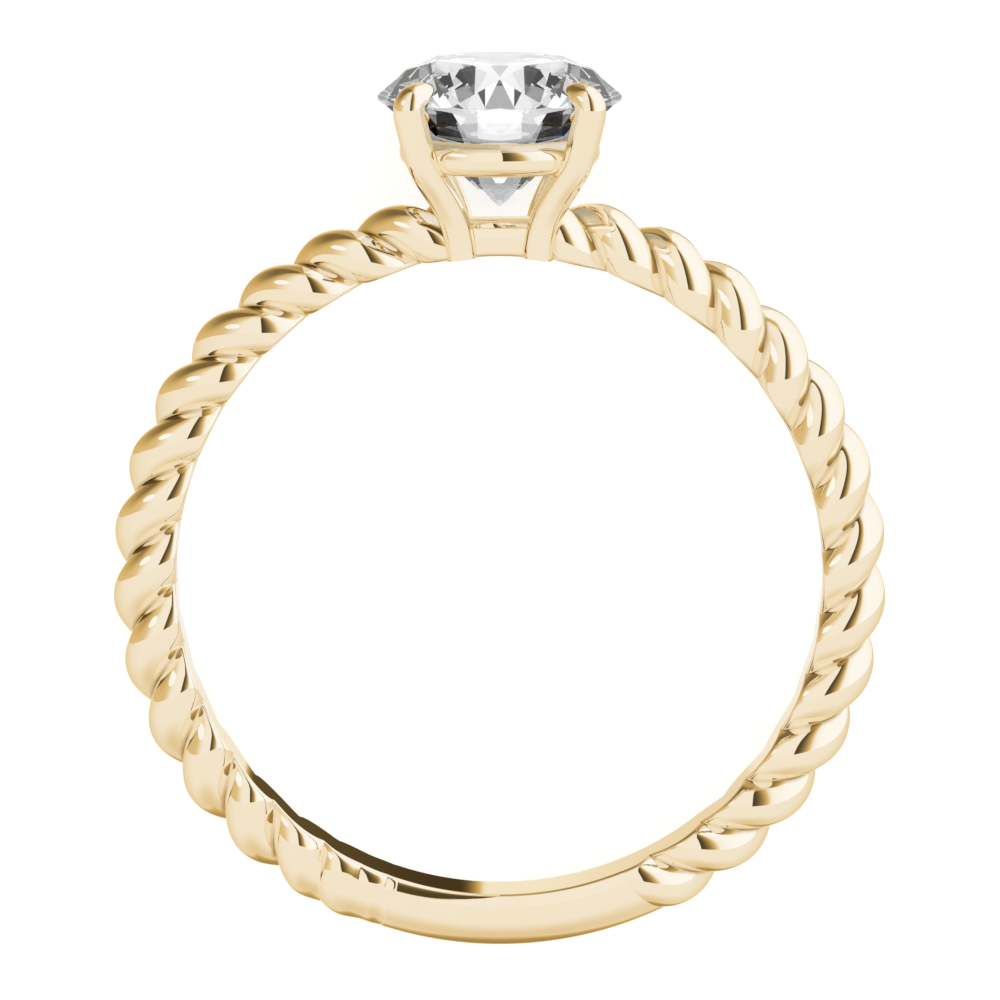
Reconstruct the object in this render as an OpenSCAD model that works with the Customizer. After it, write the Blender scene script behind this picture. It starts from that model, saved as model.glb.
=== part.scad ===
// Solitaire engagement ring: a two-strand rope shank with a plain sizing section,
// a four-prong basket head with one gallery rail, and a round brilliant diamond.
// Millimetres. The ring is drawn upright first, with the finger hole along Y, the stone at +Z
// and the hole's centre at the origin, and is then laid on its side as it rests on a table.

/* [Finger hole] */
// Diameter of the finger hole
bore_d = 17.3; // [16:0.1:20]

/* [Rope shank] */
// Radius of each of the two strands
strand_r = 0.855; // [0.82:0.005:0.88]
// Distance from the middle of the rope to a strand's centre
strand_shift = 0.302; // [0.28:0.002:0.32]
// Distance from the finger hole to the middle of the rope, at the sides of the ring
rope_lift = 0.583; // [0.56:0.001:0.6]
// How much nearer the finger hole the rope lies at the top and bottom of the ring
rope_dip = 0.085; // [0:0.005:0.1]
// Strand bulges that a full circle would hold
bulge_count = 32.5; // [31.5:0.5:33.5]
// Last strand at the right end of the rope, counted in bulges clockwise from the stone
right_last = 13.5; // [12.5:1:13.5]
// Last whole strand at the left end of the rope, counted in bulges anticlockwise from the stone
left_last = 13.5; // [12.5:1:13.5]

/* [Plain sizing section] */
// Radius of the round back of the plain section
plain_r = 1.09; // [1.06:0.01:1.12]
// Distance from the finger hole to the middle of the plain section
plain_lift = 0.44; // [0.42:0.01:0.48]

/* [Head] */
// Top of the flat bridge between the prong feet, above the finger hole's centre
bridge_top = 9.6; // [9.5:0.05:9.7]
// Radius of the prong wire at the foot
prong_foot_r = 0.4; // [0.36:0.01:0.44]
// Radius of the prong wire at the claw
prong_claw_r = 0.44; // [0.4:0.01:0.48]
// Outer radius of the gallery rail
rail_r = 2.66; // [2.55:0.01:2.75]
// Height of the gallery rail's section
rail_h = 0.79; // [0.7:0.01:0.9]
// Middle of the gallery rail above the finger hole's centre
rail_z = 11.385; // [11.2:0.005:11.5]
// Gap between the stone and the metal that holds it
seat_gap = 0.04; // [0.035:0.005:0.05]

/* [Stone] */
// Diameter of the round brilliant
stone_d = 6.5; // [6.3:0.05:6.6]
// Middle of the girdle above the finger hole's centre
girdle_z = 12.79; // [12.7:0.01:12.9]
// Thickness of the girdle
girdle_t = 0.16; // [0.1:0.01:0.25]
// Width of the table, as a share of the diameter
table_share = 0.565; // [0.53:0.005:0.6]
// Angle of the main crown facets from the girdle plane
crown_angle = 34.5; // [33:0.5:36]
// Angle of the main pavilion facets from the girdle plane
pavilion_angle = 41.1; // [40:0.1:42]

/* [Hidden] */

gold = [0.91, 0.78, 0.54];
ice = [0.86, 0.91, 0.94];

// Finger hole and shank
bore_r = bore_d / 2;
plain_ring_r = bore_r + plain_lift;
bulge_pitch = 360 / bulge_count;
steps_per_bulge = 6;
rope_rings = steps_per_bulge * bulge_count;
section_sides = 24;
// What the strands turn from one ring of points to the next, in corners of the section
ring_turn = section_sides / 2 / steps_per_bulge;
bore_length = 6;

// Share of its full size that one section keeps where it lies hidden inside the other
sunk_share = 0.8;
slim_share = 0.66;
// Lengths of the rope's ends, in bulges: past the last strands, and between plain and rope
right_run = 0.5;
left_run = 0.45;
right_sink = 0.03;
left_sink = 0.7;
plain_grow = 0.2;
plain_run = 1.4;
// How much closer the strands lie past the last whole one at the left end
left_closeness = 1.6;
// Half of the bridge under the stone, and what joins it to the rope, in degrees of ring angle
bridge_half = 5.2;
bridge_fade = 2.2;

// Flat top of the bridge
gap_half = 1.05;
gap_height = 2;

// Inner radius of the gallery rail
rail_inner = 2.02;

// Prongs stand on the diagonals of the head
prong_count = 4;
prong_sides = 12;
prong_steps = 3;
// Steps of the claw's rounded end, as angles from its widest section
cap_angles = [30, 60, 82];
OUT = 0;
UP = 1;
// Path of a prong: distance out from the stone's axis, height above the finger hole's centre
prong_path = [
    [1.42, bore_r - 0.45],
    [1.46, bore_r + 0.25],
    [1.68, bore_r + 0.95],
    [2.14, bore_r + 1.65],
    [2.72, bore_r + 2.35],
    [3.02, bore_r + 2.9],
    [3.24, girdle_z - 0.62],
    [3.36, girdle_z - 0.12],
    [3.27, girdle_z + 0.13],
    [3.03, girdle_z + 0.21]
];

// Stone
stone_r = stone_d / 2;
table_r = stone_r * table_share;
star_share = 0.5;
lower_share = 0.8;
half_eighth = 360 / 16;
girdle_sides = 32;
crown_base = girdle_z + girdle_t / 2;
pavilion_base = girdle_z - girdle_t / 2;
table_z = crown_base + (stone_r - table_r) * tan(crown_angle);
culet_z = pavilion_base - stone_r * tan(pavilion_angle);
table_edge_r = table_r * cos(half_eighth);
star_r = table_edge_r + star_share * (stone_r - table_edge_r);
star_z = crown_base + (stone_r - star_r * cos(half_eighth)) * tan(crown_angle);
lower_r = stone_r * (1 - lower_share);
lower_z = culet_z + lower_r * cos(half_eighth) * tan(pavilion_angle);

// Lying on its side, the ring touches the table with the girdle and with the plain section
touch_z = pavilion_base + plain_ring_r;
rest_tilt = acos(plain_r / norm([stone_r, touch_z])) - atan2(touch_z, stone_r);
rest_height = plain_ring_r * sin(rest_tilt) + plain_r;
back_reach = plain_ring_r * cos(rest_tilt) + plain_r;
front_reach = table_z * cos(rest_tilt) + table_edge_r * sin(rest_tilt);

// A value that goes smoothly from 1 at distance 0 to 0 at distance span
function fade(distance, span) =
    let (t = max(0, min(1, distance / span))) 1 - t * t * (3 - 2 * t);

// Distance from the finger hole to the middle of the rope at ring angle u, which is 0 at the stone
// and positive clockwise
function lift(u) = rope_lift - rope_dip * pow(cos(u), 2);

// Bulges from the stone to a point of the shank, counted clockwise along the strands. around is
// the angle around the section, 0 outwards and negative on the side of the viewer.
function strand_label(u, around) = u / bulge_pitch + around / 180;

// Direction of the first strand at a ring angle
function strand_turn(u) = 90 - 180 * u / bulge_pitch;

// Share of the rope's full section at a point of the shank
function rope_share(u, label) =
    let (end = label > 0 ? fade(label - right_last - right_run, right_sink)
                         : fade(-label - left_last - left_run, left_sink),
         head = 1 - fade(abs(u) - bridge_half, bridge_fade))
    sunk_share + (1 - sunk_share) * min(end, head);

// Share of the plain section's full size at a point of the shank
function plain_share(u, label) =
    let (end = label > 0 ? fade(right_last - label, plain_grow)
                         : fade(left_last + label, plain_grow),
         head = fade(abs(u) - bridge_half, bridge_fade))
    slim_share + (1 - slim_share) * max(end, head);

// True where no strand shows at any angle around the section
function is_plain(u) =
    abs(u) < bridge_half
    || u > (right_last + plain_run) * bulge_pitch
    || -u > (left_last + plain_run) * bulge_pitch;

// Distance from the rope's middle to its surface, for two overlapping strands
function rope_reach(label) =
    let (past = -label - left_last,
         turn = 180 * (past > 0 ? left_last + past * left_closeness : label))
    strand_shift * abs(sin(turn)) + sqrt(strand_r * strand_r - pow(strand_shift * cos(turn), 2));

// The same distance to the plain section, whose middle lies nearer the finger hole by drop
function plain_reach(around, drop) =
    sqrt(plain_r * plain_r - pow(drop * sin(around), 2)) - drop * cos(around);

// A point of the shank's skin at a ring angle and an angle around the section from -180 to 180
function shank_point(u, around) =
    let (label = strand_label(u, around),
         reach = max(rope_share(u, label) * rope_reach(label),
                     plain_share(u, label) * plain_reach(around, lift(u) - plain_lift)),
         out = bore_r + lift(u) + reach * cos(around))
    [out * sin(u), reach * sin(around), out * cos(u)];

// The same angle between -180 and 180 degrees
function within_half_turn(turn) = turn - 360 * floor((turn + 180) / 360);

// Number of the corner that lies some steps after corner j of a ring, backwards too
function corner(j, steps, sides) = ((j + steps) % sides + sides) % sides;

// Triangles that join one closed ring of points to another, whose corners start some steps on
function band_faces(first, second, sides, start = 0) = [
    for (j = [0 : sides - 1])
    let (a = first * sides + j,
         b = first * sides + corner(j, 1, sides),
         c = second * sides + corner(j, start, sides),
         d = second * sides + corner(j, start + 1, sides))
    each [[a, b, d], [a, d, c]]
];

// Skin of the whole shank, made from the bottom clockwise back to the bottom. Its lines follow
// the strands where the rope is, and run straight round the ring where it is plain.
module shank_skin() {
    last = rope_rings - 1;
    points = [
        for (i = [0 : last], j = [0 : section_sides - 1])
        let (u = 360 * i / rope_rings - 180)
        shank_point(u, within_half_turn(strand_turn(u) + 360 * j / section_sides))
    ];
    faces = [
        for (i = [0 : last])
        let (straight = is_plain(360 * (i + 0.5) / rope_rings - 180),
             start = (straight ? ring_turn : 0) - (i == last ? ring_turn * rope_rings : 0))
        each band_faces(i, (i + 1) % rope_rings, section_sides, start)
    ];
    polyhedron(points, faces);
}

// Shank with a flat top between the feet of the prongs
module shank() {
    difference() {
        shank_skin();
        translate([-gap_half, -bore_length / 2, bridge_top])
            cube([2 * gap_half, bore_length, gap_height]);
    }
}

// Point of a smooth curve through the prong's path, and its direction
function path_row(i) = prong_path[max(0, min(len(prong_path) - 1, i))];
function path_point(i, t) =
    let (a = path_row(i - 1), b = path_row(i), c = path_row(i + 1), d = path_row(i + 2))
    0.5 * (2 * b + (c - a) * t + (2 * a - 5 * b + 4 * c - d) * t * t + (3 * b - a - 3 * c + d) * t * t * t);
function path_slope(i, t) =
    let (a = path_row(i - 1), b = path_row(i), c = path_row(i + 1), d = path_row(i + 2),
         s = 0.5 * ((c - a) + 2 * (2 * a - 5 * b + 4 * c - d) * t + 3 * (3 * b - a - 3 * c + d) * t * t))
    s / norm(s);

// A prong: round wire along its path, with a rounded claw at the end
module prong() {
    spans = len(prong_path) - 1;
    rows = spans * prong_steps;
    sections = concat(
        [for (k = [0 : rows])
            let (i = min(floor(k / prong_steps), spans - 1), t = k / prong_steps - i)
            [path_point(i, t), path_slope(i, t),
             prong_foot_r + (prong_claw_r - prong_foot_r) * k / rows]],
        [for (turn = cap_angles)
            let (slope = path_slope(spans - 1, 1))
            [path_point(spans - 1, 1) + slope * prong_claw_r * sin(turn), slope, prong_claw_r * cos(turn)]]
    );
    points = [
        for (row = sections, j = [0 : prong_sides - 1])
        let (centre = row[0], slope = row[1], r = row[2], turn = -360 * j / prong_sides,
             side = r * cos(turn), wide = r * sin(turn))
        [centre[OUT] + side * slope[UP], wide, centre[UP] - side * slope[OUT]]
    ];
    last = (len(sections) - 1) * prong_sides;
    foot = [[for (j = [prong_sides - 1 : -1 : 0]) j]];
    tip = [[for (j = [0 : prong_sides - 1]) last + j]];
    sides = [for (i = [0 : len(sections) - 2]) each band_faces(i, i + 1, prong_sides)];
    polyhedron(points, concat(sides, foot, tip));
}

module prongs() {
    for (k = [0 : prong_count - 1])
        rotate([0, 0, 360 / prong_count * (k + 0.5)])
            prong();
}

// Gallery rail: a ring with a round outer face, inside the prongs
module rail() {
    face_r = rail_h / 2;
    translate([0, 0, rail_z])
        rotate_extrude($fn = 64) {
            translate([rail_r - face_r, 0])
                circle(r = face_r, $fn = 32);
            translate([rail_inner, -face_r])
                square([rail_r - face_r - rail_inner, rail_h]);
        }
}

// Room for the stone, a little larger all round
module stone_seat() {
    rotate_extrude($fn = 64)
        polygon([
            [0, culet_z - seat_gap],
            [lower_r + seat_gap, lower_z - seat_gap],
            [stone_r + seat_gap, pavilion_base - seat_gap],
            [stone_r + seat_gap, crown_base + seat_gap],
            [star_r + seat_gap, star_z + seat_gap],
            [table_r + seat_gap, table_z + seat_gap],
            [0, table_z + seat_gap]
        ]);
}

// All the gold in one piece, upright
module mount_upright() {
    difference() {
        union() {
            shank();
            prongs();
            rail();
        }
        rotate([90, 0, 0])
            cylinder(r = bore_r, h = bore_length, center = true, $fn = 180);
        stone_seat();
    }
}

// Points at one height of the stone: count corners, the first at a given angle
function stone_row(count, first, r, z) = [
    for (k = [0 : count - 1])
    let (turn = first + 360 * k / count)
    [r * cos(turn), r * sin(turn), z]
];

// Round brilliant: table, stars, kites, upper and lower halves, mains and a girdle
module brilliant() {
    points = concat(
        stone_row(8, half_eighth, table_r, table_z),
        stone_row(8, 0, star_r, star_z),
        stone_row(girdle_sides, 0, stone_r, crown_base),
        stone_row(girdle_sides, 0, stone_r, pavilion_base),
        stone_row(8, 0, lower_r, lower_z),
        [[0, 0, culet_z]]
    );
    hull()
        polyhedron(points, [[for (i = [0 : len(points) - 1]) i]]);
}

// Lays the upright ring on its side, with its lowest points on the table at z = 0
module laid() {
    translate([0, (back_reach - front_reach) / 2, rest_height])
        rotate([rest_tilt - 90, 0, 0])
            children();
}

module ring_mount() {
    color(gold)
        laid()
            mount_upright();
}

module diamond() {
    color(ice)
        laid()
            brilliant();
}

ring_mount();
diamond();
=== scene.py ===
"""Solitaire engagement ring: the visible model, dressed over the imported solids.

The ring is worked out upright, in millimetres, with the finger hole along Y, the stone at +Z and
the hole's centre at the origin. Every piece is then laid on its side, as the solids lie.
"""

from __future__ import annotations

import logging
import math
from dataclasses import dataclass, field
from enum import Enum
from typing import Callable, Union

import bpy
import numpy as np
from mathutils import Matrix, Vector

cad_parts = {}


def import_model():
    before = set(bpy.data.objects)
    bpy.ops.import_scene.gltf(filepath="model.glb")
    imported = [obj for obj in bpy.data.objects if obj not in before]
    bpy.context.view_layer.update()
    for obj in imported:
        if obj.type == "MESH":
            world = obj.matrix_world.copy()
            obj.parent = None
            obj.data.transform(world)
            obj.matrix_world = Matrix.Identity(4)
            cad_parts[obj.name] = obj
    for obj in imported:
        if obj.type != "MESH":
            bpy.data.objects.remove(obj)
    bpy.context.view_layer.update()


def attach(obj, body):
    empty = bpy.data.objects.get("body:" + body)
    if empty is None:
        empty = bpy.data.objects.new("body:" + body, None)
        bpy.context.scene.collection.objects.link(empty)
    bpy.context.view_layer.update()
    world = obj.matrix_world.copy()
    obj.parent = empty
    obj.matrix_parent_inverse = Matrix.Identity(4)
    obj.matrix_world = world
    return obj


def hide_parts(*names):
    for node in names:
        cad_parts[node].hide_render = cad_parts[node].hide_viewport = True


LOG = logging.getLogger("ring")
MM = 0.001

Field = Callable[[np.ndarray, np.ndarray], np.ndarray]
Colour = tuple[float, float, float]
Value = Union[float, tuple, bpy.types.NodeSocket]
# The smallest cosine and the smallest radius in millimetres that a length is divided by.
LEAST_COSINE = 0.05
LEAST_RADIUS = 1e-6


def smooth_step(value: np.ndarray) -> np.ndarray:
    """Goes from 0 to 1 along 3t^2 - 2t^3, and stays flat outside that range.

    Args:
        value: Where to read the curve.

    Returns:
        The curve's height, between 0 and 1.
    """
    t = np.clip(value, 0.0, 1.0)
    return t * t * (3.0 - 2.0 * t)


@dataclass
class Shell:
    """Closed surfaces, gathered one by one, that together make the mesh of one piece."""

    points: list[np.ndarray] = field(default_factory=list)
    faces: list[np.ndarray] = field(default_factory=list)
    count: int = 0
    # Painted groove shade of each point, from 0 to 1, for the gold's colour; None for pieces
    # without it.
    groove: Union[np.ndarray, None] = None

    def add(self, points: np.ndarray, faces: list[np.ndarray]) -> None:
        """Adds one closed surface and turns its faces outwards.

        The signed volume is the sum, over a fan of triangles in each face, of a . (b x c) / 6.

        Args:
            points: Corners, one row each.
            faces: Arrays of corner numbers, each with one size of face.
        """
        volume = 0.0
        for face in faces:
            for k in range(1, face.shape[1] - 1):
                a, b, c = points[face[:, 0]], points[face[:, k]], points[face[:, k + 1]]
                volume += float(np.einsum("ij,ij->", a, np.cross(b, c)))
        for face in faces:
            turned = face if volume > 0.0 else face[:, ::-1]
            self.faces.append(turned + self.count)
        self.points.append(points)
        self.count += len(points)

    def add_tube(self, rings: np.ndarray) -> None:
        """Adds a tube through closed rings of points, with a fan over each end.

        Args:
            rings: Points with the shape (rings, corners, 3).
        """
        count, corners = rings.shape[:2]
        ring = np.arange(count - 1)[:, None] * corners
        j = np.arange(corners)[None, :]
        k = (j + 1) % corners
        sides = np.stack([ring + j, ring + k, ring + corners + k, ring + corners + j], -1)
        start, end = count * corners, count * corners + 1
        first = np.stack([k[0], j[0], np.full(corners, start)], -1)
        last = (count - 1) * corners
        final = np.stack([last + j[0], last + k[0], np.full(corners, end)], -1)
        points = np.concatenate(
            [rings.reshape(-1, 3), rings[:1].mean(1), rings[-1:].mean(1)]
        )
        self.add(points, [sides.reshape(-1, 4), first, final])

    def add_hoop(self, rings: np.ndarray) -> None:
        """Adds a tube that comes back to its own start.

        Args:
            rings: Points with the shape (rings, corners, 3).
        """
        count, corners = rings.shape[:2]
        i = np.arange(count)[:, None]
        j = np.arange(corners)[None, :]
        here, there = i * corners, (i + 1) % count * corners
        k = (j + 1) % corners
        quads = np.stack([here + j, here + k, there + k, there + j], -1)
        self.add(rings.reshape(-1, 3), [quads.reshape(-1, 4)])

    def mesh(self, name: str, crease: float) -> bpy.types.Mesh:
        """Makes the mesh, smooth but for its creases.

        Args:
            name: Name of the mesh.
            crease: Angle in degrees past which an edge is sharp; 0 leaves every face flat.

        Returns:
            The mesh, in the units of its points.
        """
        points = np.concatenate(self.points)
        loops = np.concatenate([face.ravel() for face in self.faces])
        sizes = np.concatenate([np.full(len(f), f.shape[1]) for f in self.faces])
        starts = np.concatenate([[0], np.cumsum(sizes)[:-1]])
        mesh = bpy.data.meshes.new(name)
        mesh.vertices.add(len(points))
        mesh.vertices.foreach_set("co", points.astype(np.float32).ravel())
        mesh.loops.add(len(loops))
        mesh.loops.foreach_set("vertex_index", loops.astype(np.int32))
        mesh.polygons.add(len(sizes))
        mesh.polygons.foreach_set("loop_start", starts.astype(np.int32))
        mesh.update(calc_edges=True)
        mesh.validate()
        mesh.polygons.foreach_set("use_smooth", np.full(len(mesh.polygons), crease > 0.0))
        if crease > 0.0:
            mesh.set_sharp_from_angle(angle=math.radians(crease))
        # Stores the painted groove shade on the points, where the gold's colour reads it.
        if self.groove is not None:
            groove = mesh.attributes.new("groove", "FLOAT", "POINT")
            groove.data.foreach_set("value", self.groove.astype(np.float32))
        mesh.update()
        return mesh


@dataclass(frozen=True)
class RestingPose:
    """How the upright ring lies on the table, on its girdle and on its plain back.

    Lengths are in millimetres. The plain section's middle is plain_lift above the finger hole,
    and heights count from the hole's centre.
    """

    bore_r: float = 8.65
    plain_r: float = 1.09
    plain_lift: float = 0.44
    stone_r: float = 3.25
    girdle_bottom: float = 12.71
    table_z: float = 13.8418
    table_edge_r: float = 1.6965

    @property
    def tilt(self) -> float:
        """How far the stone's side of the ring is lifted.

        Returns:
            The angle in radians.
        """
        touch = self.girdle_bottom + self.bore_r + self.plain_lift
        reach = math.hypot(self.stone_r, touch)
        return math.acos(self.plain_r / reach) - math.atan2(touch, self.stone_r)

    @property
    def centre(self) -> np.ndarray:
        """Where the finger hole's centre lies.

        Returns:
            The point in millimetres.
        """
        ring_r = self.bore_r + self.plain_lift
        back = ring_r * math.cos(self.tilt) + self.plain_r
        front = self.table_z * math.cos(self.tilt) + self.table_edge_r * math.sin(self.tilt)
        return np.array([0.0, (back - front) / 2, ring_r * math.sin(self.tilt) + self.plain_r])

    def matrix(self) -> np.ndarray:
        """Returns the turn about X that lays the ring down, for column vectors."""
        s, c = math.sin(self.tilt), math.cos(self.tilt)
        return np.array([[1.0, 0.0, 0.0], [0.0, s, c], [0.0, -c, s]])

    def lay(self, points: np.ndarray) -> np.ndarray:
        """Lays upright points on the table.

        Args:
            points: Points of the upright ring, in millimetres.

        Returns:
            The same points in the frame of the solids, in metres.
        """
        return (points @ self.matrix().T + self.centre) * MM


@dataclass(frozen=True)
class RunOut:
    """How the rope's left end runs out into the plain section, with its angles in degrees.

    From calm_start on the grooves lose calm_share of their depth. A little later they turn into
    soft waves, less so towards the hole. The strands then blend into the plain section, proud
    of it, and the last one sinks at the end. The crowd is how many strands the rope has run
    ahead of its even pitch, at each of crowd_turns.
    """

    rope_end: float = -161.4
    end_margin: float = 1.1
    crowd_turns: tuple[float, ...] = (-165.0, -161.8, -158.4, -152.4, -146.0)
    crowd: tuple[float, ...] = (2.4, 1.39, 0.7, 0.242, 0.0)
    calm_start: float = -142.0
    calm_span: float = 13.7
    calm_share: float = 0.9
    soft_delay: float = 8.0
    soft_span: float = 8.0
    soft_depth: float = 0.26
    side_start: float = 75.0
    side_span: float = 35.0
    side_share: float = 0.75
    blend_start: float = -154.3
    blend_span: float = 6.2
    proud: float = 0.012
    sink: float = 0.08
    sink_span: float = 1.6


@dataclass(frozen=True)
class PlainSection:
    """The plain sizing section, whose two ends lie thinner inside the rope.

    The right end is told in strands and the left one in degrees. A share is what is left of the
    section's reach inside the rope.
    """

    right_overlap: float = 0.2
    right_share: float = 0.66
    slant_hold: float = 0.5
    slant_span: float = 2.0
    left_overlap: float = 2.4
    left_lead: float = 1.0
    left_fade: float = 1.4
    left_share: float = 0.9
    rings: int = 360
    points: int = 72


@dataclass(frozen=True)
class Bridge:
    """The bridge under the stone, and how the rope sinks beneath it between the prongs.

    Its ends and the sunken part of the rope are told in degrees from the stone. The crown drops
    with the distance from the middle, up to crown_reach.
    """

    top: float = 9.6
    crown_r: float = 3.2
    crown_reach: float = 1.1
    half: float = 7.2
    sunk_half: float = 5.2
    sunk_fade: float = 2.2
    sunk_share: float = 0.8
    sunk_height: float = 0.38
    sunk_rise: float = 1.2
    rings: int = 61
    points: int = 241


@dataclass
class RopeShank:
    """The shank: a rope of two strands, a plain sizing section, a bridge and a smooth inside.

    The strands are counted from the stone, bulge_count to the full turn, and edge_strands is
    how far they run on from the outside to the hole's edge. Each has strand_rings rings, which
    ring_crowd gathers at the grooves. The rope's middle is lift above the hole, less dip at the
    stone and at the back. The painted groove shade, a darker gold that stands for shade, is a
    line of groove_half strands to each side of a groove. Around the section it fades from the
    first to the second angle of groove_fade, down to groove_least. The lip rounds off the hole's
    edges, and fold and fold_share say how far the skins go on into the metal behind its lining.
    """

    pose: RestingPose
    run_out: RunOut = RunOut()
    plain: PlainSection = PlainSection()
    bridge: Bridge = Bridge()
    strand_high: float = 0.765
    strand_wide: float = 0.83
    strand_shift: float = 0.392
    fillet: float = 0.035
    lift: float = 0.583
    dip: float = 0.085
    bulge_count: float = 32.5
    right_end: float = 13.5
    edge_strands: float = 0.66
    turn_range: tuple[float, float] = (-175.0, 235.0)
    turn_steps: int = 4100
    strand_rings: int = 30
    ring_crowd: float = 0.12
    rope_points: int = 76
    groove_half: float = 0.06
    groove_fade: tuple[float, float] = (62.0, 102.0)
    groove_least: float = 0.2
    edge_range: tuple[float, float] = (60.0, 178.0)
    edge_halvings: int = 40
    lip: float = 0.12
    lip_points: int = 5
    fold: float = 0.12
    fold_share: float = 0.75
    lining_turns: int = 1440
    lining_points: int = 9

    def lift_at(self, turn: np.ndarray) -> np.ndarray:
        """Distance from the finger hole to the rope's middle: lift - dip cos^2(turn)."""
        return self.lift - self.dip * np.cos(np.radians(turn)) ** 2

    def height_of(self, points: np.ndarray) -> np.ndarray:
        """Height of points above the finger hole."""
        return np.hypot(points[..., 0], points[..., 2]) - self.pose.bore_r

    def strand_reach(self, label: np.ndarray) -> np.ndarray:
        """Distance from the rope's middle to its surface.

        With p the label in half turns, the reach r solves
        (r s - shift)^2 / high^2 + (r cos p)^2 / wide^2 = 1, two ellipses that overlap. Here s is
        |sin p|, rounded off in the groove as sqrt(sin^2 p + fillet^2).

        Args:
            label: Position across the strands; whole numbers are grooves.

        Returns:
            The reach in millimetres.
        """
        along = np.sqrt(np.sin(np.pi * label) ** 2 + self.fillet**2)
        across = np.cos(np.pi * label)
        high, shift = self.strand_high, self.strand_shift
        curved = (along / high) ** 2 + (across / self.strand_wide) ** 2
        leaned = along * shift / high**2
        return (leaned + np.sqrt(leaned**2 + curved * (1.0 - (shift / high) ** 2))) / curved

    def plain_reach(self, around: np.ndarray, turn: np.ndarray) -> np.ndarray:
        """Distance from the rope's middle to the round back of the plain section.

        Its middle lies nearer the finger hole by drop, so the reach is
        sqrt(r^2 - drop^2 sin^2 a) - drop cos a.

        Args:
            around: Angle around the section in degrees, 0 outwards.
            turn: Ring angle in degrees from the stone.

        Returns:
            The reach in millimetres.
        """
        drop = self.lift_at(turn) - self.pose.plain_lift
        a = np.radians(around)
        return np.sqrt(self.pose.plain_r**2 - (drop * np.sin(a)) ** 2) - drop * np.cos(a)

    def skin(self, columns: np.ndarray, rows: int, turn_at: Field, reach_at: Field) -> np.ndarray:
        """Closed rings over the outside of the shank, from one edge of the hole to the other.

        Each ring follows one value of columns. Its first and last points fold back into the
        metal, behind the lining of the hole. The lips are curves whose control point is the
        sharp edge, and the edges are found by halving the range in which they lie.

        Args:
            columns: One value for each ring.
            rows: Number of points over the outside.
            turn_at: Ring angle in degrees, from column and angle around the section.
            reach_at: Reach in millimetres, from column and angle around the section.

        Returns:
            Points with the shape (columns, points, 3).
        """
        column = columns[:, None]
        bore = self.pose.bore_r

        def height(around: np.ndarray) -> np.ndarray:
            """Height above the finger hole at an angle around the section."""
            turn = turn_at(column, around)
            return self.lift_at(turn) + reach_at(column, around) * np.cos(np.radians(around))

        def point(around: np.ndarray) -> np.ndarray:
            """Point of the surface at an angle around the section.

            Args:
                around: The angle in degrees, 0 outwards and positive to the back.

            Returns:
                The point's three coordinates, along the last axis.
            """
            turn = np.radians(turn_at(column, around))
            out = bore + height(around)
            deep = reach_at(column, around) * np.sin(np.radians(around))
            return np.stack([out * np.sin(turn), deep, out * np.cos(turn)], -1)

        def edge(side: float, wanted: float) -> np.ndarray:
            """Angle at which the surface comes down to a height.

            Args:
                side: 1 for the back and -1 for the front.
                wanted: The height above the finger hole.

            Returns:
                The angle around the section in degrees, one for each ring.
            """
            low, high = (np.full(column.shape, limit) for limit in self.edge_range)
            for _ in range(self.edge_halvings):
                middle = (low + high) / 2
                above = height(side * middle) > wanted
                low, high = np.where(above, middle, low), np.where(above, high, middle)
            return side * low

        share = np.linspace(0.0, 1.0, rows)[None, :]
        back, front = edge(1.0, self.lip), edge(-1.0, self.lip)
        outside = point(back + (front - back) * share)
        bend = (np.arange(1, self.lip_points + 1) / self.lip_points)[None, :, None]
        lips = []
        for side, start in ((1.0, outside[:, :1]), (-1.0, outside[:, -1:])):
            corner = point(edge(side, 0.0))
            inner = corner - np.array([0.0, side * self.lip, 0.0])
            curve = (1 - bend) ** 2 * start + 2 * bend * (1 - bend) * corner + bend**2 * inner
            lips.append(np.concatenate([curve, self.folded(inner)], 1))
        return np.concatenate([lips[0][:, ::-1], outside, lips[1]], 1)

    def folded(self, points: np.ndarray) -> np.ndarray:
        """Moves points of the hole's wall by fold into the metal, and nearer to its middle."""
        out = 1.0 + self.fold / self.pose.bore_r
        return points * np.array([out, self.fold_share, out])

    def strands_before(self, turn: np.ndarray) -> np.ndarray:
        """Strands between the stone and a ring angle: turn * bulge_count / 360 - crowd."""
        crowd = np.interp(turn, self.run_out.crowd_turns, self.run_out.crowd)
        return turn * self.bulge_count / 360.0 - crowd

    def along_strand(self, label: np.ndarray, around: np.ndarray) -> np.ndarray:
        """Ring angle of a point, where strands_before is label - around / 180."""
        turns = np.linspace(*self.turn_range, self.turn_steps + 1)
        return np.interp(label - around / 180.0, self.strands_before(turns), turns)

    def rope_reach(self, label: np.ndarray, around: np.ndarray) -> np.ndarray:
        """Reach of the rope, which sinks under the bridge between the prongs.

        At the left end the grooves get shallow, and the strands flatten out into the plain
        section.

        Args:
            label: Position across the strands.
            around: Angle around the section in degrees.

        Returns:
            The reach in millimetres.
        """
        end, bridge = self.run_out, self.bridge
        turn = self.along_strand(label, around)
        peak = self.strand_high + self.strand_shift
        calm = 1.0 - end.calm_share * smooth_step((end.calm_start - turn) / end.calm_span)
        blend = smooth_step((end.blend_start - turn) / end.blend_span)
        whole = peak + (self.plain_reach(around, turn) + end.proud - peak) * blend
        groove = peak - self.strand_reach(label)
        soft = end.soft_depth * np.cos(np.pi * label) ** 2
        late = smooth_step((end.calm_start - end.soft_delay - turn) / end.soft_span)
        side = smooth_step((np.abs(around) - end.side_start) / end.side_span)
        late = late * (1.0 - end.side_share * side)
        reach = whole - calm * (groove + (soft - groove) * late)
        reach = reach - end.sink * smooth_step((end.rope_end - turn) / end.sink_span)
        away = smooth_step((np.abs(turn) - bridge.sunk_half) / bridge.sunk_fade)
        outward = np.maximum(np.cos(np.radians(around)), LEAST_COSINE)
        share = bridge.sunk_share + (1.0 - bridge.sunk_share) * away
        height = bridge.sunk_height + bridge.sunk_rise * away
        return np.minimum(reach * share, height / outward)

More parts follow.
